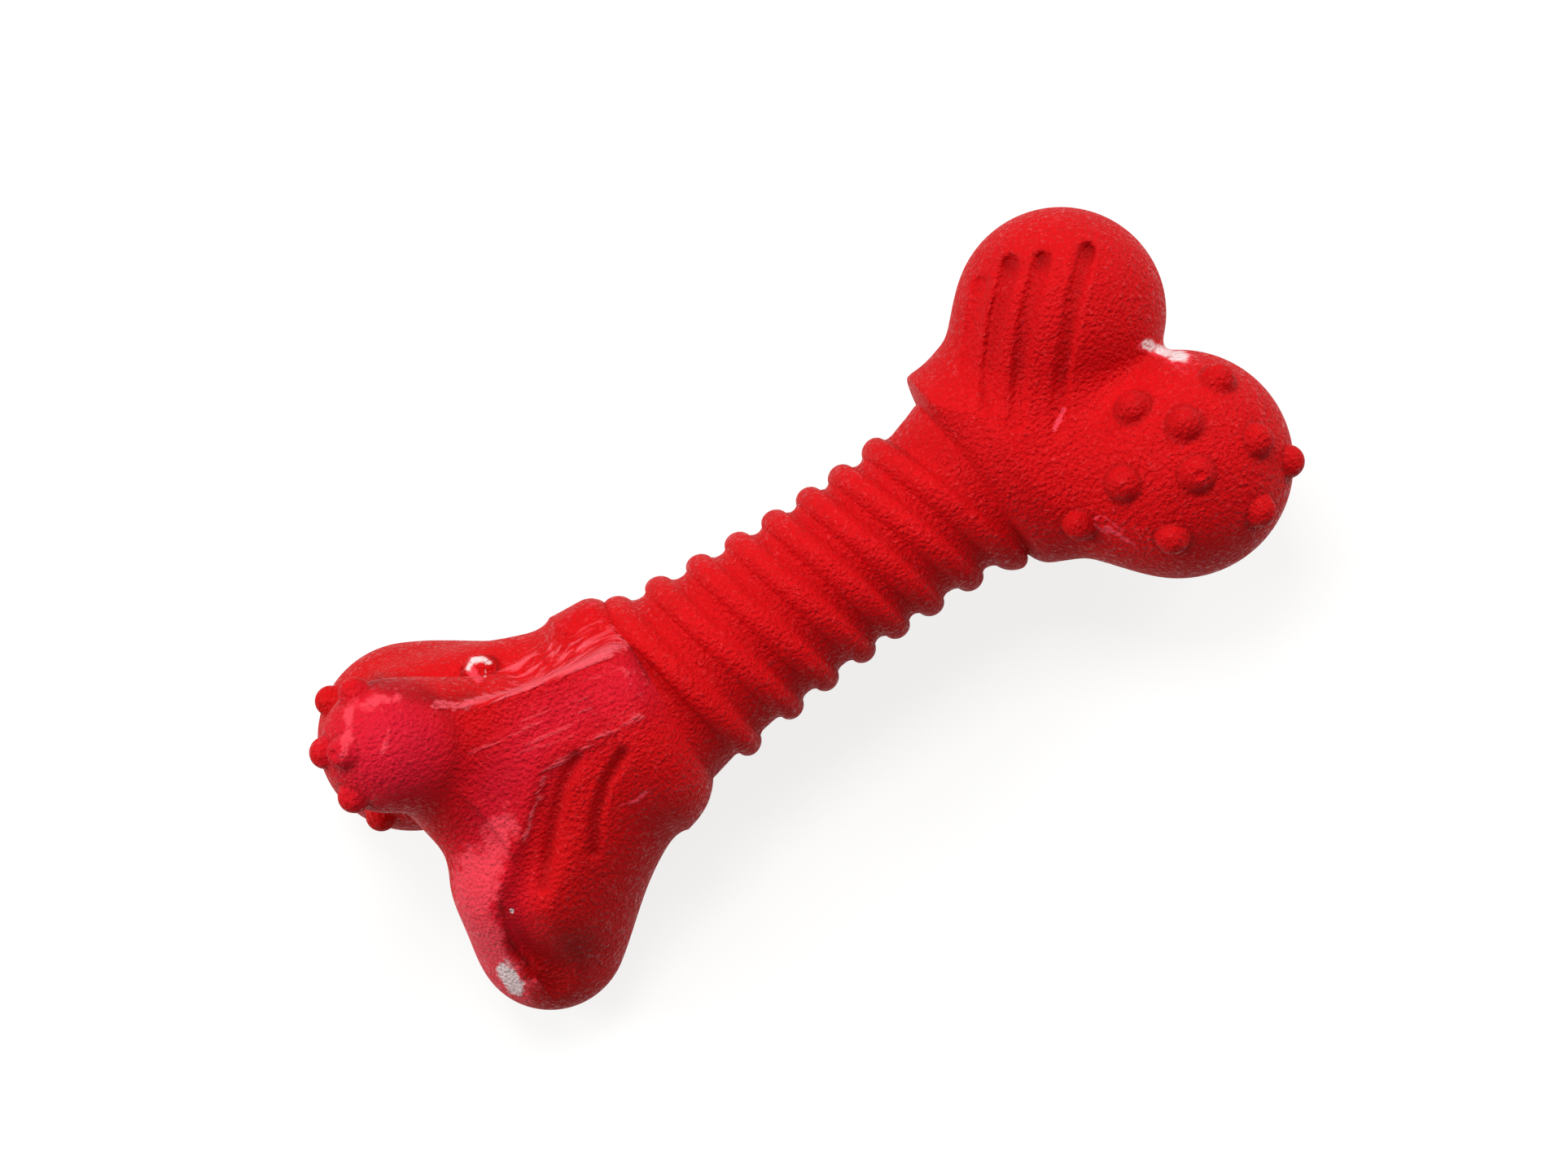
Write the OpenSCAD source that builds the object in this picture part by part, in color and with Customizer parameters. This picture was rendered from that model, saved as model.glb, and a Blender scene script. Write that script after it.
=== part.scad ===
// Rubber chew toy: a bone with a ribbed middle and three lobes at each end.
// Millimetres. X runs along the bone to the two-lobed front face, Z is up as it lies.
// The forms are drawn about the bone's own axis, Y across and Z to the front,
// then rolled and lifted together so that three lobes touch the floor.

/* [Bone] */
// Length over both heads
bone_length = 150; // [110:1:200]
// Roll from the drawn front to the way it lies
rest_roll = 17; // [12:0.5:22]
// Depth of the small flat under each lobe that touches the floor
foot_flat = 0.35; // [0.3:0.05:0.5]

/* [Middle] */
// Radius of the core at its narrowest
waist_radius = 11.5; // [10.5:0.1:12.5]
// How far each rib stands above the core
rib_rise = 1.75; // [1.4:0.05:2]
// Radius of the rib's round back
rib_round = 1.85; // [1.75:0.05:2]
// Clear gap between an end rib and its collar
collar_gap = 0.7; // [0.5:0.1:1]
// Tilt of the rib nearest the right head
right_tilt = 15; // [10:0.5:17]
// Tilt of the rib nearest the left head
left_tilt = 9; // [5:0.5:12]

/* [Collars] */
// Outer radius of the two steps where the heads begin
collar_radius = 17.1; // [16.6:0.1:17.8]
// Thickness of each step
collar_width = 3.4; // [2.8:0.1:4]
// Radius of the rounded lip
lip_round = 1.1; // [0.7:0.1:1.3]
// How far the neck stands in from the lip
neck_step = 0.5; // [0.3:0.1:0.8]

/* [Surface] */
// Radius of the small domes
nub_round = 2.45; // [2:0.05:2.8]
// How far the domes stand out
nub_rise = 1.8; // [1.4:0.1:2.1]
// Width of the grooves on the grooved lobes
groove_width = 2.7; // [2.2:0.1:3.2]
// Depth of those grooves
groove_depth = 1; // [0.7:0.1:1.3]
// Height of the raised band above the left neck
band_rise = 1.7; // [1.2:0.1:2.2]

/* [Hidden] */

// Shares of the bone's length: along the axis, off the axis, angle, tip radius, root radius, waist dip
left_rear_lobe_share = [-0.4187, 0.1546, -44.3, 0.0947, 0.0920, 0.0093];
left_low_lobe_share = [-0.4093, 0.1468, 199.9, 0.0773, 0.0880, 0.0127];
// Forms between two balls: along, across, outward and radius of the inner ball, then of the outer one
left_web_shares = [-0.2020, -0.0033, 0.0213, 0.0907, -0.3787, -0.0820, 0.0000, 0.0880];
left_fill_shares = [-0.2020, -0.0033, 0.0213, 0.0880, -0.3800, 0.0300, 0.0187, 0.0700];
left_flap_shares = [-0.2200, 0.0560, -0.0200, 0.0507, -0.4000, 0.1227, -0.0400, 0.0573];
left_ball_shares = [-0.3333, 0.0667, 0.0333, 0.0533, -0.4200, 0.1080, 0.0893, 0.0653];
left_hollow_shares = [-0.1800, 0.1033, 0.0900, 0.0333, -0.3733, 0.1167, 0.1133, 0.0920];
// Lobes of the right head, as those above
right_upper_lobe_share = [0.3633, 0.0943, 19.8, 0.1040, 0.0947, 0.0053];
right_lower_lobe_share = [0.3747, 0.1091, 157.4, 0.1133, 0.0867, 0.0080];
right_rear_lobe_share = [0.3520, 0.0855, 253.0, 0.0800, 0.0900, 0.0020];

// Rib places from the right head to the left, as shares of the way between the end ribs
rib_place_shares = [1.0000, 0.8638, 0.7211, 0.5871, 0.4488, 0.3050, 0.1569, 0.0000];
// Core radius over the waist, as shares of the waist radius, at the places below it
core_radius_shares = [1.220, 1.045, 1.015, 1.000, 1.000, 1.022, 1.061, 1.113, 1.195, 1.275];
core_place_shares = [0.2027, 0.1600, 0.1160, 0.0740, 0.0340, -0.0080, -0.0530, -0.0980, -0.1480, -0.1793];

// Domes: along and across as seen from the front, as shares of the bone's length
right_nub_shares = [[0.2541, -0.0925], [0.3110, -0.0834], [0.3576, -0.0269], [0.3213, -0.1545],
                    [0.3696, -0.1141], [0.3879, -0.0679], [0.4434, -0.0514], [0.4394, -0.1208],
                    [0.4582, -0.1569], [0.4045, -0.1794]];
left_front_nub_shares = [[-0.4155, 0.1700], [-0.4540, 0.1257]];
left_rear_nub_shares = [[-0.3040, 0.1173], [-0.4653, 0.1920], [-0.5040, 0.1487], [-0.5033, 0.0893],
                        [-0.4893, 0.0547]];

// Grooves: start and end, along and across as seen from the front, as shares of the bone's length
right_groove_shares = [[0.4069, 0.1207, 0.2878, -0.0065], [0.3661, 0.1385, 0.2595, 0.0225],
                       [0.3399, 0.1532, 0.2460, 0.0508], [0.3076, 0.1533, 0.2428, 0.0811]];
left_groove_shares = [[-0.3727, -0.0972, -0.2960, -0.0280], [-0.3164, -0.0932, -0.2426, -0.0357]];

// Raised band on the left head: outline along and across, as shares of the bone's length
band_outline_shares = [[-0.1548, 0.0566], [-0.2824, 0.0811], [-0.3397, 0.1001], [-0.3703, 0.1108],
                       [-0.3703, -0.0488], [-0.3605, -0.0416], [-0.3065, 0.0019], [-0.2779, 0.0013],
                       [-0.2018, -0.0071], [-0.1548, -0.0129]];
// Its top: along the bone as shares of the length, and out from the axis as shares of its height
band_top_shares = [[-0.1547, 0.978], [-0.2267, 0.962], [-0.2933, 0.913], [-0.3333, 0.842],
                   [-0.3733, 0.721]];

right_end = bone_length * core_place_shares[0];
left_end = bone_length * core_place_shares[9];
rib_centre_drop = rib_round - rib_rise;
neck_radius = collar_radius - neck_step;
first_rib = right_end - rib_reach(1, right_tilt) - collar_gap;
last_rib = left_end + rib_reach(8, left_tilt) + collar_gap;
nub_sink = nub_round - nub_rise;
groove_round = (groove_width * groove_width / 4 + groove_depth * groove_depth) / (2 * groove_depth);
lobe_steps = 10;
cap_steps = 8;
over = bone_length;

// How far a tilted end rib reaches along the bone
function rib_radius(i, tilt) = waist_radius * core_radius_shares[i] * (1 + 1 / cos(tilt)) / 2 - rib_centre_drop;
function rib_reach(i, tilt) = rib_radius(i, tilt) * sin(tilt) + rib_round;

// Centre of a lobe's round tip, from its shares
function tip(l) = bone_length * [l[0], l[1] * cos(l[2]), l[1] * sin(l[2])];
function tip_radius(l) = bone_length * l[3];
function root_radius(l) = bone_length * l[4];
function waist_dip(l) = bone_length * l[5];
function ease(t) = t * t * (3 - 2 * t);

function flank_radius(l, t) = root_radius(l) + (tip_radius(l) - root_radius(l)) * ease(t)
    - waist_dip(l) * pow(sin(180 * t), 2);

// Front height of a ball over a point seen from the front
function dome_height(radius, dx, dy) = sqrt(max(radius * radius - dx * dx - dy * dy, 0));
// Where along a lobe a point lies, then the lobe's middle there and its front height
function lobe_base(l) = (tip(l)[0] > 0) ? right_end + collar_width : left_end - collar_width;
function along(l, x) = max(0, min(1, (x - lobe_base(l)) / (tip(l)[0] - lobe_base(l))));
function middle(l, x) = [lobe_base(l), 0, 0] + along(l, x) * (tip(l) - [lobe_base(l), 0, 0]);
function lobe_front(l, x, y) = let (m = middle(l, x))
    m[2] + dome_height(flank_radius(l, along(l, x)), x - m[0], y - m[1]);

// The same for a form between two balls, and its front height over a point
function between(b, x) = max(0, min(1, (x / bone_length - b[0]) / (b[4] - b[0])));
function inner_ball(b) = bone_length * [b[0], b[1], b[2]];
function outer_ball(b) = bone_length * [b[4], b[5], b[6]];
function form_middle(b, t) = inner_ball(b) + (outer_ball(b) - inner_ball(b)) * t;
function form_radius(b, t) = bone_length * (b[3] + (b[7] - b[3]) * ease(t));
function form_front(b, x, y) = let (m = form_middle(b, between(b, x)))
    m[2] + dome_height(form_radius(b, between(b, x)), x - m[0], y - m[1]);
function left_ground(x, y) = max(form_front(left_web_shares, x, y), form_front(left_fill_shares, x, y));

// Front height of a head made of several lobes and its neck
function on_neck(l, x) = abs(x - lobe_base(l)) < 3 * collar_width;
function ground(lobes, x, y) = max(concat(
    [for (l = lobes) lobe_front(l, x, y)],
    [on_neck(lobes[0], x) ? dome_height(neck_radius, y, 0) : 0]));

// Middle of a dome's ball, a little under the lobe that carries it
function nub_seat(ball, size, p) = let (away = bone_length * [p[0], p[1]] - [ball[0], ball[1]])
    let (spot = away * min(1, size / norm(away)))
    ball + [spot[0], spot[1], dome_height(size, spot[0], spot[1])] * (1 - nub_sink / size);
function lobe_nub(l, p) = let (x = bone_length * p[0])
    nub_seat(middle(l, x), flank_radius(l, along(l, x)), p);
function ball_nub(b, p) = nub_seat(form_middle(b, 1), form_radius(b, 1), p);

// Reach of each head along the bone, domes included, so that the origin lies midway
function nub_ends(places) = [for (q = places) abs(q[0]) + nub_round];
function lobe_ends(lobes) = [for (l = lobes) abs(tip(l)[0]) + tip_radius(l)];
right_nubs = [for (p = right_nub_shares) lobe_nub(right_lower_lobe_share, p)];
left_nubs = concat([for (p = left_front_nub_shares) ball_nub(left_ball_shares, p)],
                   [for (p = left_rear_nub_shares) lobe_nub(left_rear_lobe_share, p)]);
right_reach = max(concat(lobe_ends([right_upper_lobe_share, right_lower_lobe_share]),
                         nub_ends(right_nubs)));
left_reach = max(concat(lobe_ends([left_rear_lobe_share, left_low_lobe_share]), nub_ends(left_nubs)));
end_shift = (left_reach - right_reach) / 2;

// Reach of the lobes to each side as it lies, so that the origin lies midway there too
function side(l) = tip(l)[1] * cos(rest_roll) - tip(l)[2] * sin(rest_roll);
far_side = max(side(left_rear_lobe_share) + tip_radius(left_rear_lobe_share),
               side(right_upper_lobe_share) + tip_radius(right_upper_lobe_share));
near_side = min(side(left_low_lobe_share) - tip_radius(left_low_lobe_share),
                side(right_lower_lobe_share) - tip_radius(right_lower_lobe_share));
side_shift = -(far_side + near_side) / 2;

// Height above the floor of the bone's axis, so that the three resting lobes reach it
function drop(l) = tip_radius(l) - tip(l)[1] * sin(rest_roll) - tip(l)[2] * cos(rest_roll);
resting = [left_rear_lobe_share, left_low_lobe_share, right_rear_lobe_share];
rest_height = min([for (l = resting) drop(l)]) - foot_flat;

// A round bulb between two points: a flank of given radii that runs into a round tip
module bulb(from, to, radii) {
    run = to - from;
    reach = norm(run);
    last = len(radii) - 1;
    flank = [for (i = [0 : last]) [radii[i], reach * i / last]];
    cap = [for (i = [1 : cap_steps - 1]) let (a = 90 * i / cap_steps)
        [radii[last] * cos(a), reach + radii[last] * sin(a)]];
    translate(from)
    rotate([0, acos(run[2] / reach), atan2(run[1], run[0])])
    rotate_extrude($fn = 72)
    polygon(concat([[0, 0]], flank, cap, [[0, reach + radii[last]]]));
}

// A lobe is a bulb with a waisted flank, from the bone's axis to its tip
module lobe(l) {
    bulb([lobe_base(l), 0, 0], tip(l), [for (i = [0 : lobe_steps]) flank_radius(l, i / lobe_steps)]);
}

// A bulb between two balls
module form(b) {
    bulb(form_middle(b, 0), form_middle(b, 1), [for (i = [0 : lobe_steps]) form_radius(b, i / lobe_steps)]);
}

// A groove is an arc of round section, bent to follow the lobe under it
module groove(a, b, a_up, m_up, b_up) {
    m = (a + b) / 2;
    flat_run = norm(b - a);
    chord = sqrt(flat_run * flat_run + (b_up - a_up) * (b_up - a_up));
    sag = max(m_up - (a_up + b_up) / 2, chord / 60);
    bend = (chord * chord / 4 + sag * sag) / (2 * sag);
    half = asin(chord / 2 / bend);
    translate([m[0], m[1], (a_up + b_up) / 2])
    rotate([0, 0, atan2(b[1] - a[1], b[0] - a[0])])
    rotate([0, -atan2(b_up - a_up, flat_run), 0])
    translate([0, 0, sag - bend])
    rotate([90, 0, 0])
    rotate([0, 0, 90 - half])
    rotate_extrude(angle = 2 * half, $fn = 96)
    translate([bend + groove_round - groove_depth, 0])
    circle(r = groove_round, $fn = 32);
}

module right_groove(g) {
    lobes = [right_upper_lobe_share, right_lower_lobe_share];
    a = bone_length * [g[0], g[1]];
    b = bone_length * [g[2], g[3]];
    m = (a + b) / 2;
    groove(a, b, ground(lobes, a[0], a[1]), ground(lobes, m[0], m[1]), ground(lobes, b[0], b[1]));
}

module left_groove(g) {
    a = bone_length * [g[0], g[1]];
    b = bone_length * [g[2], g[3]];
    m = (a + b) / 2;
    groove(a, b, left_ground(a[0], a[1]), left_ground(m[0], m[1]), left_ground(b[0], b[1]));
}

// A dome, sunk a little into the lobe that carries it
module nub(place) {
    translate(place)
    sphere(r = nub_round, $fn = 40);
}

// Step at the foot of a head, rounded where it stands out toward the middle
module collar(from_x, way) {
    lip = [for (i = [0 : 6]) let (a = 90 * i / 6)
        [collar_radius - lip_round + lip_round * sin(a), lip_round - lip_round * cos(a)]];
    tail = [[collar_radius, collar_width - neck_step], [neck_radius, collar_width], [0, collar_width]];
    translate([from_x, 0, 0])
    rotate([0, 90 * way, 0])
    rotate_extrude($fn = 96)
    polygon(concat([[0, 0]], lip, tail));
}

// Waisted round middle without its ribs
module core_form() {
    side = [for (i = [9 : -1 : 0]) [waist_radius * core_radius_shares[i], bone_length * core_place_shares[i]]];
    rotate([0, 90, 0])
    rotate_extrude($fn = 96)
    polygon(concat([[0, left_end]], side, [[0, right_end]]));
}

// One closed ring, tilted, with its foot cut to the core it sits on
module rib(i) {
    tilt = right_tilt + (left_tilt - right_tilt) * i / 7;
    color("firebrick")
    laid()
    difference() {
        translate([last_rib + (first_rib - last_rib) * rib_place_shares[i], 0, 0])
        rotate([0, 0, tilt])
        rotate([0, 90, 0])
        rotate_extrude($fn = 96)
        translate([rib_radius(i + 1, tilt), 0])
        circle(r = rib_round, $fn = 32);
        core_form();
    }
}

// Round stem between collar and lobes, opening out in a hollow curve
module neck(from_x, way, reach, spread) {
    side = [for (i = [0 : 8]) let (t = i / 8) [neck_radius + spread * t * t, reach * t]];
    translate([from_x, 0, 0])
    rotate([0, 90 * way, 0])
    rotate_extrude($fn = 96)
    polygon(concat([[0, 0]], side, [[0, reach + spread]]));
}

// Band that stands up from the left neck: its outline cut by its own side view
module band() {
    span = neck_radius + band_rise;
    intersection() {
        linear_extrude(height = over)
        polygon([for (p = band_outline_shares) bone_length * p]);
        rotate([90, 0, 0])
        translate([0, 0, -over])
        linear_extrude(height = 2 * over)
        polygon(concat([for (p = band_top_shares) [bone_length * p[0], span * p[1]]],
                       [[bone_length * band_top_shares[4][0], 0], [bone_length * band_top_shares[0][0], 0]]));
    }
}

module laid() {
    translate([end_shift, side_shift, rest_height])
    rotate([rest_roll, 0, 0])
    children();
}

module floor_cut() {
    translate([-over, -over, -over])
    cube([2 * over, 2 * over, over]);
}

module shaft_core() {
    color("brown")
    laid()
    core_form();
}

module right_collar() {
    color("indianred")
    laid()
    collar(right_end, 1);
}

module left_collar() {
    color("indianred")
    laid()
    collar(left_end, -1);
}

module right_head() {
    base = right_end + collar_width;
    color("crimson")
    difference() {
        laid()
        difference() {
            union() {
                neck(base, 1, collar_width * 2.4, neck_step * 1.5);
                intersection() {
                    union() {
                        lobe(right_upper_lobe_share);
                        lobe(right_lower_lobe_share);
                        lobe(right_rear_lobe_share);
                    }
                    translate([base, -over, -over])
                    cube([over, 2 * over, 2 * over]);
                }
                for (q = right_nubs) nub(q);
            }
            for (g = right_groove_shares) right_groove(g);
        }
        floor_cut();
    }
}

module left_head() {
    base = left_end - collar_width;
    color("crimson")
    difference() {
        laid()
        difference() {
            union() {
                intersection() {
                    union() {
                        difference() {
                            union() {
                                neck(base, -1, collar_width * 2.4, neck_step * 1.5);
                                lobe(left_rear_lobe_share);
                                lobe(left_low_lobe_share);
                                form(left_web_shares);
                                form(left_fill_shares);
                                form(left_flap_shares);
                            }
                            form(left_hollow_shares);
                        }
                        form(left_ball_shares);
                        band();
                    }
                    translate([base - over, -over, -over])
                    cube([over, 2 * over, 2 * over]);
                }
                for (q = left_nubs) nub(q);
            }
            for (g = left_groove_shares) left_groove(g);
        }
        floor_cut();
    }
}

shaft_core();
rib(0);  // rib_1
rib(1);  // rib_2
rib(2);  // rib_3
rib(3);  // rib_4
rib(4);  // rib_5
rib(5);  // rib_6
rib(6);  // rib_7
rib(7);  // rib_8
right_collar();
left_collar();
right_head();
left_head();
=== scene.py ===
import math

import bpy
import numpy as np
from mathutils import Matrix, Vector


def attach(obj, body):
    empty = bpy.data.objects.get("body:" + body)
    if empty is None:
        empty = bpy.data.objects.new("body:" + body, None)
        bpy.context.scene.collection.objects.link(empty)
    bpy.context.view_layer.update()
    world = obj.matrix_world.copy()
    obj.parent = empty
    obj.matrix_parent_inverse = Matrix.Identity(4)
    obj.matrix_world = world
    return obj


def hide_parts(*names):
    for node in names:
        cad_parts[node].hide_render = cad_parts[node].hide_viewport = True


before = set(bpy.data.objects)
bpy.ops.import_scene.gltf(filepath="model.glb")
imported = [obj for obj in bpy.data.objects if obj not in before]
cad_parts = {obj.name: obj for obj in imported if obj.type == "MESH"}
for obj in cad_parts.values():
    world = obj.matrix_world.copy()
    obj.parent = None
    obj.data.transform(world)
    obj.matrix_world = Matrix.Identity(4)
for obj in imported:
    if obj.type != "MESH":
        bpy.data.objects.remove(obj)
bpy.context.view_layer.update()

# Right head
# Three round lobes of the one solid rubber moulding, with the collar behind them. The upper front
# lobe carries four pressed grooves, the lower front lobe ten small domes. Lobes, neck and collar
# melt into one closed skin, whose end is hidden in the ribbed middle.

# The forms are drawn in millimetres about the bone's axis: x along it, y across it, z to the
# viewer. A form is a function that is below zero inside it.


def fade(value, start, end):
    """Rises softly from 0 at the start to 1 at the end."""
    t = np.clip((value - start) / (end - start), 0, 1)
    return t * t * (3 - 2 * t)


def melt(first, second, fillet):
    """Joins two forms with a fillet of this width."""
    h = np.maximum(fillet - np.abs(first - second), 0) / fillet
    return np.minimum(first, second) - h * h * fillet / 4


def carve(form, tool, fillet):
    """Takes the inside of a tool out of a form."""
    return -melt(-form, tool, fillet)


def lobe(p, root, tip, root_radius, tip_radius, waist):
    """A round lobe whose flank draws in between its root and its tip."""
    root, tip = np.array(root, float), np.array(tip, float)
    run = tip - root
    t = np.clip(((p - root) @ run) / (run @ run), 0, 1)
    radius = root_radius + (tip_radius - root_radius) * fade(t, 0, 1)
    radius = radius - waist * np.sin(np.pi * t) ** 2
    return np.linalg.norm(p - root - t[:, None] * run, axis=1) - radius


def right_plain(p):
    """The right head without its grooves and domes."""
    x, y, z = p.T
    root = (32.5, 0.4, 0)
    upper = lobe(p, root, (54.3, 13.3, 4.8), root_radius=14.2, tip_radius=15.7, waist=1.5)
    lower = lobe(p, root, (56.0, -15.0, 6.3), root_radius=12.5, tip_radius=16.9, waist=1.3)
    rear = lobe(p, root, (52.8, -3.75, -12.27), root_radius=13.5, tip_radius=12.0, waist=0.3)
    valley = 2.5 + 5 * fade(x, 60, 46)
    form = melt(melt(upper, lower, valley), rear, fillet=4.0)
    lobes_start = 31.5
    form = carve(form, x - lobes_start, fillet=2.0)
    # The collar steps up sharply on its upper edge, with a low lip, and slowly elsewhere.
    collar_aside, neck_radius, neck_end, collar_step = 1.0, 12.0, 36, 5.0
    lip_height, lip_place, lip_width = 0.2, 31.4, 1.2
    radial = np.hypot(y - collar_aside, z)
    on_edge = fade(y / np.maximum(radial, 1), 0.3, 0.8)
    middle, half = 31.6 - 1.8 * on_edge, 4.6 - 3.8 * on_edge
    girth = neck_radius + collar_step * fade(x, middle - half, middle + half)
    girth = girth + lip_height * on_edge * np.exp(-((x - lip_place) / lip_width) ** 2)
    neck = carve(0.8 * (radial - girth), neck_end - x, fillet=1.0)
    return melt(form, neck, fillet=3.5)


CAMERA_AT = np.array([-2.44, 2.70])
CAMERA_FAR = 488.0
SLOPE_STEP = 0.06


def slope(body, p):
    """The way a form's surface faces at each point."""
    g = np.stack([body(p + SLOPE_STEP * axis) - body(p - SLOPE_STEP * axis)
                  for axis in np.eye(3)], -1)
    return g / np.maximum(np.linalg.norm(g, axis=1, keepdims=True), 1e-9)


def front_point(body, x, y):
    """The point of a form that the camera sees at x, y, or the nearest edge, and its slope."""
    start_high, lowest, edge_low, stride = 34, -16, 4.0, 0.8
    aim = np.array([x, y, 0.0])
    eye = np.array([*CAMERA_AT, CAMERA_FAR])
    way = (aim - eye) / np.linalg.norm(aim - eye)
    q = eye + way * (CAMERA_FAR - start_high)
    for _ in range(80):
        q = q + way * stride * body(q[None])[0]
        if q[2] < lowest:
            break
    if q[2] < lowest:
        q = aim - np.array([0, 0, edge_low])
        for _ in range(40):
            q = q - slope(body, q[None])[0] * body(q[None])[0]
    return q, slope(body, q[None])[0]


def seats(body, spots, sink):
    """Centres for domes that are sunk this deep into the surface seen at each spot."""
    out = []
    for x, y in spots:
        q, n = front_point(body, x, y)
        out.append(q - n * sink)
    return out


# Each groove runs from its deep outer end to the end that fades toward the neck.
right_grooves = [((63.5, 18.7), (57.5, 13.6), (50.3, 6.1), (44.8, -1.1)),
                 ((57.2, 21.5), (50.5, 15.8), (44.8, 9.3), (40.4, 3.4)),
                 ((52.9, 23.7), (46.6, 18.2), (41.9, 13.0), (38.3, 7.8)),
                 ((47.6, 23.6), (42.6, 18.4), (37.8, 12.5))]
right_groove_depths = (0.95, 0.95, 0.9, 0.5)
GROOVE_FLAT, GROOVE_WALL, GROOVE_FADE = 0.55, 1.2, 7
right_domes = [(39.4, -14.4), (48.2, -13.0), (55.9, -4.3), (49.8, -24.0), (58.3, -18.1),
               (61.1, -10.8), (69.1, -8.1), (68.8, -19.0), (70.8, -24.3), (63.0, -28.0)]
RIGHT_DOME_RADIUS = 2.5
DOME_FILLET = 0.3
DIMPLE_RADIUS, DIMPLE_FILLET = 0.75, 0.2
right_seats = seats(right_plain, right_domes, sink=0.3)
right_dimple = seats(right_plain, [right_domes[4]], sink=-2.35)[0]


def seen(p):
    """Where points lie in the picture: drawn from the camera onto the plane of the bone's axis."""
    return CAMERA_AT + (p[:, :2] - CAMERA_AT) * (CAMERA_FAR / (CAMERA_FAR - p[:, 2]))[:, None]


def path_distance(s, path):
    """Distance from each seen point to a bent line."""
    best = np.full(len(s), 1e9)
    for a, b in zip(path[:-1], path[1:]):
        a, b = np.array(a, float), np.array(b, float)
        ab = b - a
        t = np.clip(((s - a) @ ab) / (ab @ ab), 0, 1)
        best = np.minimum(best, np.hypot(*(s - a - t[:, None] * ab).T))
    return best


def spot(s, at, spread):
    """A soft round spot about one seen point."""
    return np.exp(-((s - at) ** 2).sum(1) / spread)


def dome(p, centre, radius):
    return np.linalg.norm(p - np.array(centre, float), axis=1) - radius


# The toy is rolled to lie on three lobes, so what is drawn is turned and moved to the floor.
ROLL = math.radians(17.0)
SHIFT, ASIDE, LIFT = 2.132, -0.765, 24.466
FLAT_FILLET = 0.8
laid_turn = np.array([[1, 0, 0],
                      [0, math.cos(ROLL), -math.sin(ROLL)],
                      [0, math.sin(ROLL), math.cos(ROLL)]])


def height(p):
    """How far drawn points lie above the floor."""
    return p @ laid_turn[2] + LIFT


def right_body(p):
    """The whole right head, cut flat where it rests on the floor."""
    form = right_plain(p)
    front = fade(p[:, 2], -1, 3)
    s = seen(p)
    for path, depth in zip(right_grooves, right_groove_depths):
        from_end = np.minimum(np.hypot(*(s - path[-1]).T) / GROOVE_FADE, 1)
        pit = spot(s, path[0], spread=3.5)
        wall = 1 - fade(path_distance(s, path), GROOVE_FLAT, GROOVE_FLAT + GROOVE_WALL)
        form = form + depth * (0.3 + 0.7 * from_end + 0.25 * pit) * front * wall
    for centre in right_seats:
        form = melt(form, dome(p, centre, RIGHT_DOME_RADIUS), DOME_FILLET)
    form = carve(form, dome(p, right_dimple, DIMPLE_RADIUS), DIMPLE_FILLET)
    return carve(form, height(p), FLAT_FILLET)


MILLIMETRE = 0.001
SKIN_STEP = 0.36


def laid(points):
    """Drawn points as they lie on the floor, in metres."""
    return (points @ laid_turn.T + np.array([SHIFT, ASIDE, LIFT])) * MILLIMETRE


def place_mesh(name, points, faces):
    """Makes an object from drawn points, lying as the toy lies."""
    mesh = bpy.data.meshes.new(name)
    mesh.from_pydata(laid(points).tolist(), [], faces)
    mesh.validate()
    mesh.shade_smooth()
    obj = bpy.data.objects.new(name, mesh)
    bpy.context.scene.collection.objects.link(obj)
    return obj


def crossing_points(field, solid, mixed, axes, step):
    """One point in each cell that the surface passes through, at the mean of its crossings."""
    corners = [(i, j, k) for i in (0, 1) for j in (0, 1) for k in (0, 1)]
    shape = solid.shape
    at = np.argwhere(mixed)
    values = np.stack([field[c[0]:shape[0] - 1 + c[0], c[1]:shape[1] - 1 + c[1],
                             c[2]:shape[2] - 1 + c[2]][mixed] for c in corners], -1)
    total = np.zeros((len(at), 3))
    crossings = np.zeros(len(at))
    for a in range(8):
        for b in range(a + 1, 8):
            ca, cb = np.array(corners[a]), np.array(corners[b])
            if np.abs(ca - cb).sum() != 1:
                continue
            fa, fb = values[:, a], values[:, b]
            cut = (fa < 0) != (fb < 0)
            t = np.where(cut, fa / np.where(cut, fa - fb, 1), 0)
            total += np.where(cut[:, None], ca + t[:, None] * (cb - ca), 0)
            crossings += cut
    origin = np.array([a[0] for a in axes])
    return origin + (at + total / crossings[:, None]) * step


def crossing_faces(solid, index):
    """A quad across each grid edge that leaves or enters the form."""
    faces = []
    for axis in range(3):
        one, two = [a for a in range(3) if a != axis]
        this_slice = [slice(1, -1)] * 3
        this_slice[axis] = slice(0, -1)
        next_slice = [slice(1, -1)] * 3
        next_slice[axis] = slice(1, None)
        first, second = solid[tuple(this_slice)], solid[tuple(next_slice)]
        for found, flip in ((first & ~second, False), (~first & second, True)):
            where = np.argwhere(found)
            where[:, one] += 1
            where[:, two] += 1
            cells = []
            for da, db in ((1, 1), (0, 1), (0, 0), (1, 0)):
                c = where.copy()
                c[:, one] -= da
                c[:, two] -= db
                cells.append(index[c[:, 0], c[:, 1], c[:, 2]])
            quads = np.stack(cells, -1)
            if flip != (axis == 1):
                quads = quads[:, ::-1]
            faces.append(quads)
    return np.concatenate(faces)


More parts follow.
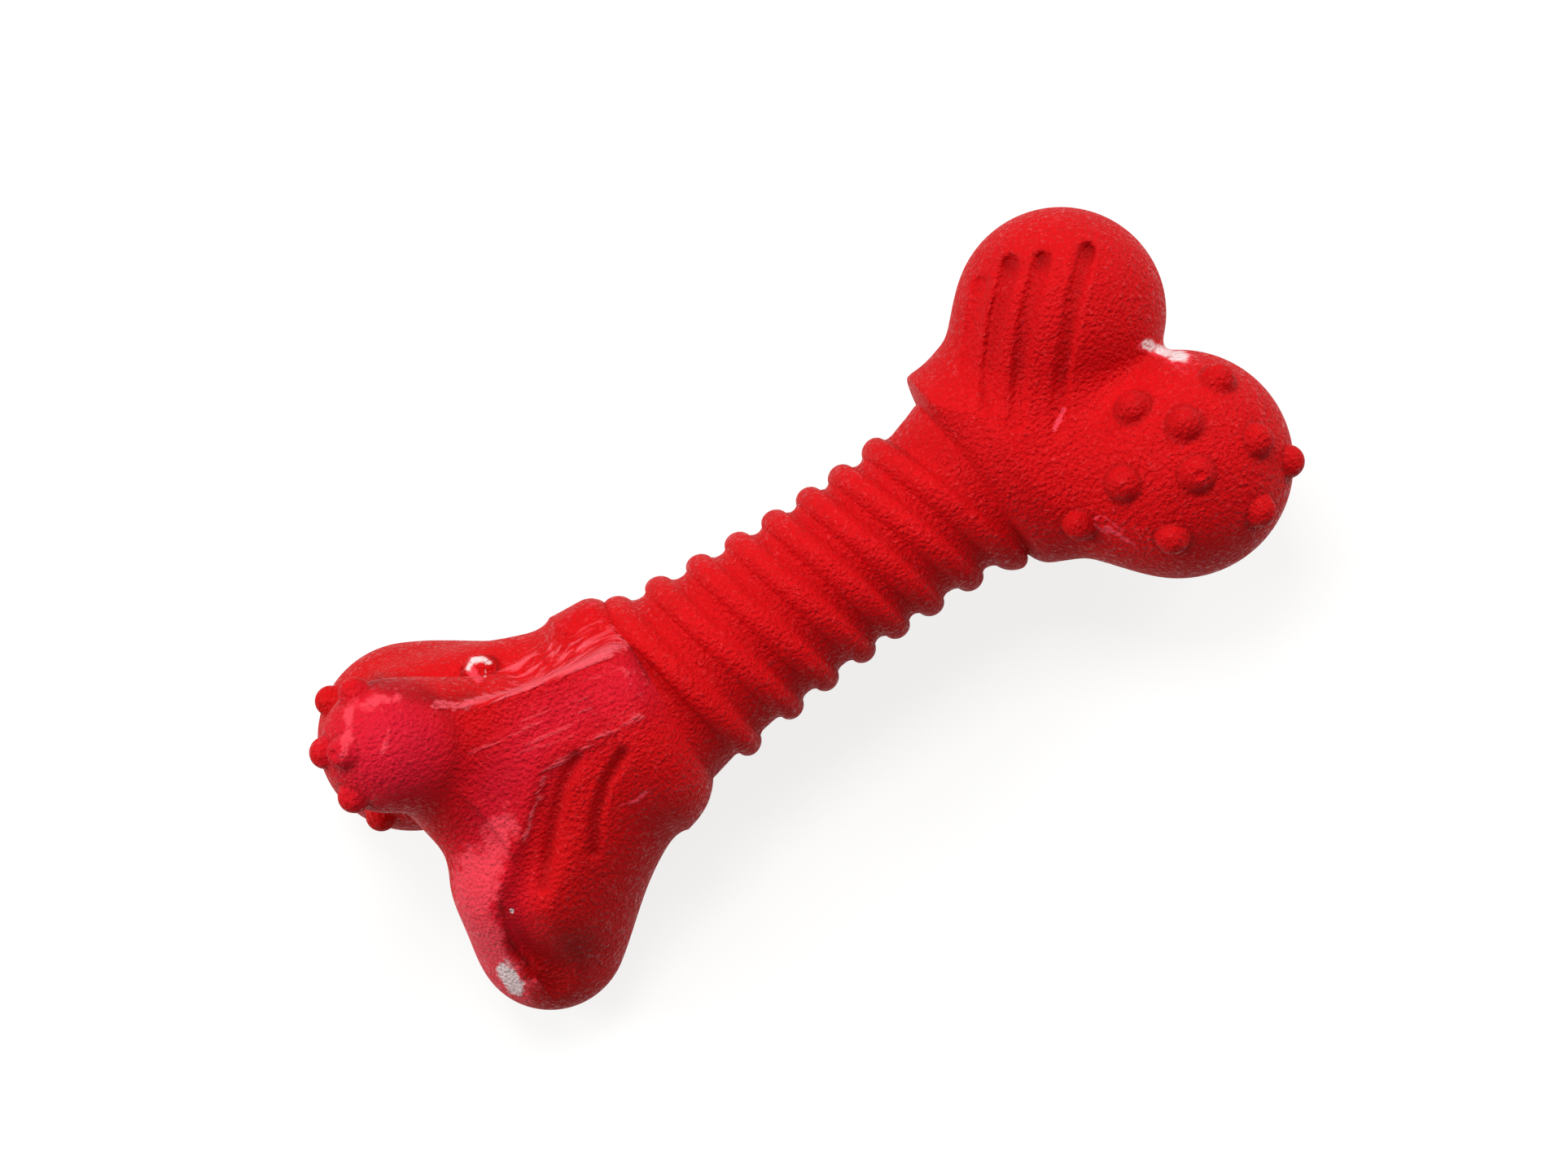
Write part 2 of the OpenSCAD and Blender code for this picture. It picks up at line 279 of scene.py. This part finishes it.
def skin(name, body, low, high):
    """Meshes the surface where a form's field is zero, as one closed skin of quads."""
    settle_rounds, least_slope, longest_move = 4, 0.25, 0.3 * SKIN_STEP
    axes = [np.arange(a, b + SKIN_STEP, SKIN_STEP) for a, b in zip(low, high)]
    shape = tuple(len(a) for a in axes)
    field = np.empty(shape, np.float32)
    yy, zz = np.meshgrid(axes[1], axes[2], indexing="ij")
    for i, x in enumerate(axes[0]):
        p = np.stack([np.full(yy.size, x), yy.ravel(), zz.ravel()], -1)
        field[i] = body(p).reshape(yy.shape)
    field[[0, -1]] = 1
    field[:, [0, -1]] = 1
    field[:, :, [0, -1]] = 1
    solid = field < 0
    count = sum(solid[i:shape[0] - 1 + i, j:shape[1] - 1 + j, k:shape[2] - 1 + k].astype(np.int8)
                for i in (0, 1) for j in (0, 1) for k in (0, 1))
    mixed = (count > 0) & (count < 8)
    index = np.full(mixed.shape, -1, np.int64)
    index[mixed] = np.arange(mixed.sum())
    points = crossing_points(field, solid, mixed, axes, SKIN_STEP)
    for _ in range(settle_rounds):
        g = np.stack([body(points + SLOPE_STEP * axis) - body(points - SLOPE_STEP * axis)
                      for axis in np.eye(3)], -1) / (2 * SLOPE_STEP)
        f = body(points)
        move = -f[:, None] * g / np.maximum((g * g).sum(1), least_slope)[:, None]
        points += np.clip(move, -longest_move, longest_move)
    return place_mesh(name, points, crossing_faces(solid, index).tolist()), points


right_head, right_points = skin("right_head_skin", right_body, (26.5, -35, -27), (76.5, 31, 26))


def streaks(s, table):
    """Adds up soft lines, each given by its strength, its half width and its path."""
    return sum(strength * np.exp(-(path_distance(s, path) / wide) ** 2)
               for strength, wide, path in table)


def feet(points, centres):
    """Painted shade in the crease round the foot of each dome."""
    foot_radius, foot_width = 2.85, 0.3
    near = np.min([np.linalg.norm(points - c, axis=1) for c in centres], axis=0)
    return np.exp(-((near - foot_radius) / foot_width) ** 2)


# Marks are numbers from 0 to 1 at each point: rubbed pale with painted highlights and sheen among
# the wear, brushed in lines, white dust with a painted highlight, painted shade in the creases and
# hollows, and a pink tint that is partly the bloom of old rubber and partly painted sheen.
def mark(obj, **values):
    for name, value in values.items():
        layer = obj.data.attributes.new(name, "FLOAT", "POINT")
        layer.data.foreach_set("value", np.clip(value, 0, 1).astype(np.float32))


right_seen = seen(right_points)
right_front = fade(right_points[:, 2], 1, 4)
oval_path = ((42.3, -15.9), (44.7, -22.6))
OVAL_HALF_WIDTH, OVAL_LINE = 0.95, 0.3
oval_edge = np.abs(path_distance(right_seen, oval_path) - OVAL_HALF_WIDTH)
oval_scuff = 0.85 * np.exp(-(oval_edge / OVAL_LINE) ** 2) * fade(right_seen[:, 1], -23.5, -15.5)
# Rubbed pale marks: the oval scuff and the streak beside it are wear, the short pink streak at the
# inner end of the first groove is a painted highlight, and the valley patch is wear with a painted
# highlight on it.
right_wear = oval_scuff + streaks(right_seen, [
    (0.95, 0.5, ((42.6, -17.2), (44.6, -21.6))),
    (1.0, 0.5, ((44.4, -0.6), (47.3, 1.2))),
    (0.9, 1.6, ((62.5, 2.4), (66.5, -2.9)))])
# The white patch in the valley between the lobes is white wear with a painted highlight on it.
right_dust = streaks(right_seen, [(0.95, 1.1, ((63.0, 2.2), (66.4, -2.7)))])
# Painted shade: a dark ring round the foot of each dome, and darker pits and lines in the first
# three grooves.
right_grime = 0.45 * feet(right_points, right_seats)
for path in right_grooves[:3]:
    right_grime += 0.35 * spot(right_seen, path[0], spread=2.5)
    right_grime += streaks(right_seen, [(0.25, 1.0, path[:3])])
none_right = np.zeros(len(right_points))
mark(right_head, wear=right_wear * right_front, brush=none_right, dust=right_dust * right_front,
     grime=right_grime * right_front, bloom=none_right)

# Natural rubber, pressed in a spark-eroded mould: matte and finely grained, paler where it is
# rubbed, with shade painted darker into the creases. One material serves the whole toy.
rubber = bpy.data.materials.new("red_rubber")
rubber.use_nodes = True
nodes, links = rubber.node_tree.nodes, rubber.node_tree.links
shader = nodes["Principled BSDF"]
place = nodes.new("ShaderNodeNewGeometry")


def noise(scale, detail, roughness=0.5, warp=0.0, vector=place.outputs["Position"]):
    node = nodes.new("ShaderNodeTexNoise")
    node.inputs["Scale"].default_value = scale
    node.inputs["Detail"].default_value = detail
    node.inputs["Roughness"].default_value = roughness
    node.inputs["Distortion"].default_value = warp
    links.new(vector, node.inputs["Vector"])
    return node.outputs["Fac"]


def blend(factor, first, second):
    node = nodes.new("ShaderNodeMix")
    node.data_type = "RGBA"
    for name, value in (("Factor", factor), ("A", first), ("B", second)):
        if isinstance(value, tuple):
            node.inputs[name].default_value = (*value, 1)
        else:
            links.new(value, node.inputs[name])
    return node.outputs["Result"]


def ramp(value, low, high, to_low=0.0, to_high=1.0):
    node = nodes.new("ShaderNodeMapRange")
    for name, number in (("From Min", low), ("From Max", high),
                         ("To Min", to_low), ("To Max", to_high)):
        node.inputs[name].default_value = number
    links.new(value, node.inputs["Value"])
    return node.outputs["Result"]


def attribute(name):
    node = nodes.new("ShaderNodeAttribute")
    node.attribute_name = name
    return node.outputs["Fac"]


def reckon(operation, first, second):
    node = nodes.new("ShaderNodeMath")
    node.operation = operation
    for i, value in enumerate((first, second)):
        if isinstance(value, float):
            node.inputs[i].default_value = value
        else:
            links.new(value, node.inputs[i])
    return node.outputs["Value"]


def mapped(vector, **settings):
    node = nodes.new("ShaderNodeMapping")
    for name, value in settings.items():
        node.inputs[name].default_value = value
    links.new(vector, node.inputs["Vector"])
    return node.outputs["Vector"]


# The grain: wrinkles and pebbles of about a millimetre, with finer noise over them.
wrinkle = noise(1500, 2.0, warp=0.9)
cells = nodes.new("ShaderNodeTexVoronoi")
cells.feature = "SMOOTH_F1"
cells.inputs["Scale"].default_value = 1450
cells.inputs["Smoothness"].default_value = 0.3
links.new(place.outputs["Position"], cells.inputs["Vector"])
pebbles = ramp(cells.outputs["Distance"], 0.1, 0.75, 1.0, 0.0)
fine = noise(3600, 2.0)
along_band = mapped(place.outputs["Position"], Rotation=(0, 0, math.radians(13)))
brushed = noise(1.0, 3.0, vector=mapped(along_band, Scale=(90, 1100, 1100)))
striae = reckon("MULTIPLY", attribute("brush"), ramp(brushed, 0.35, 0.65, 0.0, 1.2))
grain = reckon("ADD",
               reckon("ADD", wrinkle, reckon("MULTIPLY", fine, 0.25)),
               reckon("ADD", reckon("MULTIPLY", pebbles, 0.45), striae))
bump = nodes.new("ShaderNodeBump")
bump.inputs["Strength"].default_value = 1.0
bump.inputs["Distance"].default_value = 0.00042
links.new(grain, bump.inputs["Height"])
links.new(bump.outputs["Normal"], shader.inputs["Normal"])

# The colour: a blotchy red, then bloom with painted sheen, painted glints on the wrinkles, painted
# shade, rubbed places with painted highlights, brushed places and white dust with a painted
# highlight, laid over one another in that order.
deep_red = (0.58, 0.0012, 0.0030)
clear_red = (0.68, 0.0020, 0.0045)
bloom_red = (0.66, 0.0065, 0.026)
glint_red = (0.80, 0.035, 0.045)
dirt_red = (0.20, 0.0010, 0.0012)
rubbed_pink = (0.85, 0.048, 0.075)
brushed_pink = (0.86, 0.085, 0.11)
dust_white = (0.92, 0.70, 0.70)
ragged = noise(420, 5.0, 0.65)
rubbed = ramp(reckon("ADD", attribute("wear"), ramp(ragged, 0.3, 0.7, -0.5, 0.38)), 0.38, 0.75)
combed = ramp(reckon("ADD", attribute("brush"), ramp(brushed, 0.35, 0.65, -0.55, 0.40)), 0.45, 0.95)
dusty = ramp(reckon("ADD", attribute("dust"), ramp(ragged, 0.3, 0.7, -0.5, 0.40)), 0.42, 0.80)
colour = blend(noise(110, 4.0), deep_red, clear_red)
# Pink tint: bloom of old rubber with painted sheen.
colour = blend(attribute("bloom"), colour, bloom_red)
# Painted glints: paler red on the crests of the wrinkles.
colour = blend(ramp(wrinkle, 0.60, 0.72, 0.0, 0.35), colour, glint_red)
# Painted shade: darker red in the creases and hollows.
colour = blend(attribute("grime"), colour, dirt_red)
# Rubbed places, with painted highlights and sheen among them.
colour = blend(rubbed, colour, rubbed_pink)
colour = blend(combed, colour, brushed_pink)
# White dust, with a painted highlight in the right head's valley.
links.new(blend(dusty, colour, dust_white), shader.inputs["Base Color"])
links.new(ramp(wrinkle, 0.52, 0.68, 0.60, 0.22), shader.inputs["Roughness"])
shader.inputs["Specular IOR Level"].default_value = 0.09
shader.inputs["Sheen Weight"].default_value = 0.025
shader.inputs["Sheen Roughness"].default_value = 0.3
shader.inputs["Sheen Tint"].default_value = (1, 0.75, 0.75, 1)

right_head.data.materials.append(rubber)
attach(right_head, "root")
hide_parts("right_head", "right_collar")

# Left head
# The other end of the same moulding, with its collar. A flat-topped band runs from the collar to a
# round front lobe, a rear lobe shows behind it, and the low lobe has a ridge, a sunk face and two
# grooves. It is one closed skin too, made in the same way.
band_upper = [(-20, 8.0), (-26.6, 9.2), (-43.8, 12.5), (-52.5, 15.4), (-55.5, 17.5), (-58, 21)]
band_lower = [(-20, -2.6), (-31.3, -1.2), (-43.1, 0.1), (-47.5, 0.2), (-55.6, -6.5),
              (-59.4, -9.0), (-63.4, -11.8), (-65.3, -14.2), (-66.5, -19.4), (-66.0, -24.0)]
band_places, band_heights = [26, 34, 44, 50, 56], [17.8, 17.6, 16.6, 15.3, 13.4]
left_grooves = [((-42.4, -0.9), (-46.6, -3.2), (-51.8, -7.9), (-57.4, -13.9)),
                ((-36.2, -4.3), (-41.0, -6.4), (-45.2, -10.0), (-48.4, -14.0))]
left_front_domes = [(-64.4, 26.3), (-71.1, 19.6)]
left_rear_domes = [(-68.3, 27.3), (-73.4, 21.2), (-73.6, 13.0), (-71.8, 8.3)]
hollow_dome = (-47.1, 18.1)
LEFT_DOME_RADIUS = 2.4
LEFT_GROOVE_DEPTH = 0.9


def side_of(s, path):
    """Signed distance of each seen point from a bent line: above zero on its left."""
    best = np.full(len(s), 1e9)
    sign = np.ones(len(s))
    for a, b in zip(path[:-1], path[1:]):
        a, b = np.array(a, float), np.array(b, float)
        ab = b - a
        rel = s - a
        t = np.clip((rel @ ab) / (ab @ ab), 0, 1)
        d = np.hypot(*(rel - t[:, None] * ab).T)
        nearer = d < best - 1e-9
        best = np.where(nearer, d, best)
        sign = np.where(nearer, np.sign(ab[0] * rel[:, 1] - ab[1] * rel[:, 0]), sign)
    return best * sign


def left_plain(p):
    """The left head without its sunk face, grooves and domes."""
    x, y, z = p.T
    root, high_root = (-30.3, 0, 0), (-30.3, -0.5, 3.2)
    low = lobe(p, root, (-61.3, -20.7, -7.5), root_radius=13.6, tip_radius=11.6, waist=2.0)
    web = lobe(p, high_root, (-57.2, -11.6, -0.2), root_radius=13.6, tip_radius=12.9, waist=0.7)
    fill = lobe(p, high_root, (-56.8, 4.4, 2.8), root_radius=13.0, tip_radius=10.3, waist=0)
    rear = lobe(p, root, (-62.8, 16.1, -16.1), root_radius=13.9, tip_radius=14.6, waist=1.5)
    flap = lobe(p, (-33.0, 8.2, -3.0), (-60.0, 17.8, -6.0),
                root_radius=7.6, tip_radius=8.5, waist=0)
    form = melt(melt(low, web, fillet=6.0), fill, fillet=5.0)
    form = melt(melt(form, rear, fillet=3.0), flap, fillet=2.5)
    collar_aside, collar_radius, collar_back = 0.2, 17.2, -32.5
    radial = np.hypot(y - collar_aside, z)
    form = melt(form, np.maximum(radial - collar_radius, collar_back - x), fillet=6.5)
    hollow = lobe(p, (-27.0, 15.5, 13.5), (-56.0, 17.8, 16.6),
                  root_radius=5.0, tip_radius=14.4, waist=0)
    form = carve(form, hollow, fillet=4.0)
    front_lobe = lobe(p, (-50.0, 10.0, 5.0), (-63.0, 16.2, 13.4),
                      root_radius=8.0, tip_radius=9.8, waist=0)
    form = melt(form, front_lobe, 2.0 + 4.5 * fade(y, 13.5, 7.5))
    s = seen(p)
    top = np.interp(-x, band_places, band_heights)
    band_end = -57
    band = np.maximum(np.maximum(z - top, band_end - x), -z)
    band = carve(band, side_of(s, band_upper), fillet=1.2)
    band = carve(band, -side_of(s, band_lower), fillet=2.2)
    form = melt(form, band, fillet=2.0)
    # The collar ends in a slightly leaning, coned face toward the ribs.
    face_place, face_lean, face_cone, face_radius = -26.5, 0.04, 0.35, 16
    past_face = x - face_place - face_lean * y + face_cone * (radial - face_radius)
    return carve(form, -past_face, 2.5 + 3.5 * fade(y, 4, -4))


left_seats = seats(left_plain, left_front_domes + left_rear_domes, sink=0.4)
hollow_seat = seats(left_plain, [hollow_dome], sink=-0.3)[0]
left_dimple = seats(left_plain, [left_front_domes[1]], sink=-2.15)[0]


def left_body(p):
    """The whole left head, cut flat where it rests on the floor."""
    form = left_plain(p)
    front = fade(p[:, 2], -1, 3)
    s = seen(p)
    sunk = side_of(s, band_lower)
    depth = (0.8 + 1.3 * fade(s[:, 1], -6, -12)) * fade(s[:, 0], -46, -54)
    form = form + depth * front * fade(sunk, -1.2, 1.8) * (1 - fade(sunk, 2.2, 7.7))
    for path in left_grooves:
        form = form + LEFT_GROOVE_DEPTH * front * (1 - fade(path_distance(s, path), 0, 1.6))
    for centre in [*left_seats, hollow_seat]:
        form = melt(form, dome(p, centre, LEFT_DOME_RADIUS), DOME_FILLET)
    form = carve(form, dome(p, left_dimple, DIMPLE_RADIUS), DIMPLE_FILLET)
    return carve(form, height(p), FLAT_FILLET)


left_head, left_points = skin("left_head_skin", left_body, (-80.5, -35, -32.5), (-24.0, 33, 27))

left_seen = seen(left_points)
left_front = fade(left_points[:, 2], 1, 4)
left_flank = fade(left_points[:, 2], -13, -8)
# Rubbed pale marks: the ridge, the flank beside it, the pale arcs on the upper rim of the round
# front lobe and the line along the collar's upper edge are wear with painted sheen where they face
# the light; the dome cap in the hollow and the short strokes are wear.
left_wear = streaks(left_seen, [
    (0.88, 3.3, ((-57.5, -2.9), (-64.2, -8.3), (-68.4, -13.0), (-70.0, -20.0), (-69, -25))),
    (0.6, 2.6, ((-65.5, -4.5), (-70.0, -10.0), (-71.8, -16.0), (-71.2, -21.5))),
    (0.9, 1.0, ((-48.4, 18.9), (-48.0, 17.3))),
    (0.9, 0.35, ((-41.0, -10.4), (-38.6, -11.2), (-36.9, -10.9))),
    (0.7, 0.6, ((-63.4, 18.5), (-66.0, 16.2))),
    (0.8, 1.2, ((-59.5, 22.0), (-66.0, 24.5), (-71.0, 19.5))),
    (0.4, 1.3, ((-27.0, 17.0), (-36.0, 17.0)))])
left_brush = streaks(left_seen, [
    (0.9, 0.9, band_upper[1:-1]),
    (0.75, 0.7, band_lower[1:5]),
    (0.6, 2.2, ((-27.0, 12.0), (-36.0, 14.0), (-43.0, 15.5))),
    (0.3, 3.5, ((-27, 4), (-44, 6), (-52, 8)))])
left_dust = streaks(left_seen, [
    (1.15, 1.45, ((-69.3, -20.9), (-69.2, -24.2))),
    (0.95, 0.55, ((-48.5, 19.5), (-47.1, 20.1), (-45.8, 19.5), (-45.2, 18.3))),
    (0.8, 0.35, ((-46.2, 17.9), (-46.9, 17.0)))])
white_speck = 2.0 * spot(left_seen, (-63.4, -14.3), spread=0.12)
BALL_AT, BALL_RADIUS, BALL_CREASE = (-65.1, 16.6), 10.4, 0.9
BLOOM_AT, BLOOM_RADIUS = (-65, 16.5), 9.5
ball_edge = np.hypot(*(left_seen - BALL_AT).T) - BALL_RADIUS
# Painted shade: darker rings round the dome feet, most round the dome in the hollow, along the
# round lobe's edge, in the hollow under the flap, the low lobe's crevice, the collar crease, the
# grooves, the sunk face and the low lobe's downward-facing bottom.
left_grime = (0.35 * feet(left_points, [*left_seats, hollow_seat])
              + 0.4 * feet(left_points, [hollow_seat])
              + 0.3 * np.exp(-(ball_edge / BALL_CREASE) ** 2) * fade(left_seen[:, 0], -64, -60))
left_grime += streaks(left_seen, [
    (0.45, 1.2, ((-50.5, 15.6), (-54.8, 17.6), (-57.8, 21.3), (-60.8, 25.0))),
    (0.6, 0.5, ((-64.0, -12.1), (-66.3, -17.9), (-65.9, -22.1))),
    (0.5, 0.7, ((-25.8, 12), (-26.3, 8), (-26.8, 3))),
    (0.25, 6.0, ((-49, -17), (-55, -22))),
    (0.6, 4.5, ((-59, -25), (-64, -26.5))),
    (0.35, 0.8, left_grooves[0]),
    (0.35, 0.8, left_grooves[1])])
# A pink tint on the round front lobe and along the band and ridge: partly the bloom of old rubber,
# partly painted sheen on faces turned toward the light.
left_bloom = np.exp(-(np.hypot(*(left_seen - BLOOM_AT).T) / BLOOM_RADIUS) ** 4)
left_bloom += streaks(left_seen, [
    (0.7, 5.5, ((-27, 4), (-44, 6), (-54, 2), (-62, -5), (-67, -15)))])
mark(left_head, wear=left_wear * left_flank, brush=left_brush * left_front,
     dust=(left_dust + white_speck) * left_flank, grime=left_grime * left_flank,
     bloom=left_bloom * left_front)

left_head.data.materials.append(rubber)
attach(left_head, "root")
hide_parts("left_head", "left_collar")

# Ribbed middle
# The waisted round middle of the moulding, with eight closed rings that lean a little over it. It
# is one closed skin, and both its ends are hidden inside the heads.
rib_places = np.array([24.0, 17.6, 11.25, 5.15, -1.1, -7.85, -14.6, -22.1])
rib_tilts = np.radians([15.5, 15.3, 13.2, 13.2, 13.4, 12.4, 12.2, 8.8])
core_places = [-31.0, -26.9, -22.2, -14.75, -8.0, -1.25, 5.0, 11.1, 17.5, 23.9, 27.0, 29.0, 33.8]
core_radii = [15.2, 14.8, 13.75, 12.8, 12.2, 11.75, 11.5, 11.5, 11.67, 12.15, 13.0, 13.7, 14.2]
RIB_HEIGHT, RIB_HALF_WIDTH, RIB_LEAN_OUT = 1.85, 2.05, 1.7
MIDDLE_RISE = 0.45
FOOT_HEIGHT, FOOT_START, FOOT_SPREAD = 0.40, 1.8, 0.35
MIDDLE_START, MIDDLE_END = -29.5, 33.0
N_ROWS, N_TURNS = 560, 300
along, turn = np.meshgrid(np.linspace(MIDDLE_START, MIDDLE_END, N_ROWS),
                          np.linspace(0, 2 * math.pi, N_TURNS, endpoint=False), indexing="ij")
radius = np.interp(along, core_places, core_radii)
ribs = np.zeros_like(radius)
for rib_place, tilt in zip(rib_places, rib_tilts):
    crest = rib_place - np.tan(tilt) * (radius + RIB_LEAN_OUT) * np.cos(turn)
    away = np.abs(along - crest) * np.cos(tilt)
    ring = RIB_HEIGHT * np.sqrt(np.maximum(1 - (away / RIB_HALF_WIDTH) ** 2, 0))
    foot = FOOT_HEIGHT * np.exp(-np.maximum(away - FOOT_START, 0) ** 2 / FOOT_SPREAD)
    ribs = np.maximum(ribs, np.maximum(ring, foot))
radius = radius + ribs
rise = MIDDLE_RISE * fade(along, 18, 26)
tube = np.stack([along, rise + radius * np.cos(turn), radius * np.sin(turn)], -1).reshape(-1, 3)
middle_points = np.vstack([tube, [[MIDDLE_START, 0, 0], [MIDDLE_END, 0, 0]]])
row, step = np.meshgrid(np.arange(N_ROWS - 1), np.arange(N_TURNS), indexing="ij")
here = row * N_TURNS + step
beside = row * N_TURNS + (step + 1) % N_TURNS
middle_quads = np.stack([here, beside, beside + N_TURNS, here + N_TURNS], -1).reshape(-1, 4)
last_row = (N_ROWS - 1) * N_TURNS
start_cap = [[len(tube), (k + 1) % N_TURNS, k] for k in range(N_TURNS)]
end_cap = [[len(tube) + 1, last_row + k, last_row + (k + 1) % N_TURNS] for k in range(N_TURNS)]
middle_faces = middle_quads.tolist() + start_cap + end_cap
ribbed_middle = place_mesh("ribbed_middle", middle_points, middle_faces)
no_marks = np.zeros(len(middle_points))
mark(ribbed_middle, wear=no_marks, brush=no_marks, dust=no_marks, grime=no_marks, bloom=no_marks)

ribbed_middle.data.materials.append(rubber)
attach(ribbed_middle, "root")
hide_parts("shaft_core", "rib_1", "rib_2", "rib_3", "rib_4", "rib_5", "rib_6",
            "rib_7", "rib_8")

# Floor
# A plain white sheet under the toy. It shows white to the camera and takes only a faint soft
# shadow; it is part of the stage and no piece of the toy.
PAPER_SIZE, PAPER_GLOW = 6, 0.82
bpy.ops.mesh.primitive_plane_add(size=PAPER_SIZE, location=(0, 0, 0))
floor = bpy.context.object
floor.name = "floor"
paper = bpy.data.materials.new("white_floor")
paper.use_nodes = True
nodes, links = paper.node_tree.nodes, paper.node_tree.links
matte = nodes["Principled BSDF"]
matte.inputs["Base Color"].default_value = (0.2, 0.2, 0.2, 1)
matte.inputs["Roughness"].default_value = 1.0
matte.inputs["Specular IOR Level"].default_value = 0.0
matte.inputs["Emission Color"].default_value = (1, 1, 0.99, 1)
floor_ray = nodes.new("ShaderNodeLightPath")
looked_at = reckon("MAXIMUM", floor_ray.outputs["Is Camera Ray"],
                   floor_ray.outputs["Is Glossy Ray"])
links.new(reckon("MULTIPLY", looked_at, PAPER_GLOW), matte.inputs["Emission Strength"])
floor.data.materials.append(paper)

# Light
# One soft square lamp from the upper left of the picture, a weaker one from each side, and a dim
# sky that only glossy rays see brighter.
LAMP_SIZE = 0.36


def drawn(x, y, z):
    return Vector(laid(np.array([[x, y, z]], float))[0])


def lamp(name, where, power):
    data = bpy.data.lights.new(name, "AREA")
    data.shape = "SQUARE"
    data.size = LAMP_SIZE
    data.energy = power
    obj = bpy.data.objects.new(name, data)
    bpy.context.scene.collection.objects.link(obj)
    obj.location = where
    obj.rotation_euler = (drawn(0, 0, 0) - where).to_track_quat("-Z", "Y").to_euler()


lamp("key", drawn(128, 500, 737), power=4.7)
lamp("right", drawn(786, 220, 380), power=3.4)
lamp("left", drawn(-584, 571, 380), power=3.8)
world = bpy.data.worlds.new("sky")
bpy.context.scene.world = world
world.use_nodes = True
sky_nodes, sky_links = world.node_tree.nodes, world.node_tree.links
sky = sky_nodes["Background"]
sky.inputs["Color"].default_value = (1, 1, 1, 1)
sky_ray = sky_nodes.new("ShaderNodeLightPath")
sky_level = sky_nodes.new("ShaderNodeMapRange")
sky_level.inputs["To Min"].default_value = 0.29
sky_level.inputs["To Max"].default_value = 0.9
sky_links.new(sky_ray.outputs["Is Glossy Ray"], sky_level.inputs["Value"])
sky_links.new(sky_level.outputs["Result"], sky.inputs["Strength"])

# Camera
# It looks square at the bone's drawn front, from almost straight above, with the bone rising to
# the right of the picture.
lean = math.radians(34.3)
right_way = laid_turn @ np.array([math.cos(lean), -math.sin(lean), 0])
up_way = laid_turn @ np.array([math.sin(lean), math.cos(lean), 0])
back_way = laid_turn @ np.array([0, 0, 1])
camera_data = bpy.data.cameras.new("camera")
camera_data.lens = 74.8
camera_data.sensor_width = 36
camera = bpy.data.objects.new("camera", camera_data)
bpy.context.scene.collection.objects.link(camera)
turned = Matrix(np.stack([right_way, up_way, back_way], -1).tolist()).to_4x4()
camera.matrix_world = Matrix.Translation(drawn(*CAMERA_AT, CAMERA_FAR)) @ turned
bpy.context.scene.camera = camera
bpy.context.scene.view_settings.view_transform = "Standard"
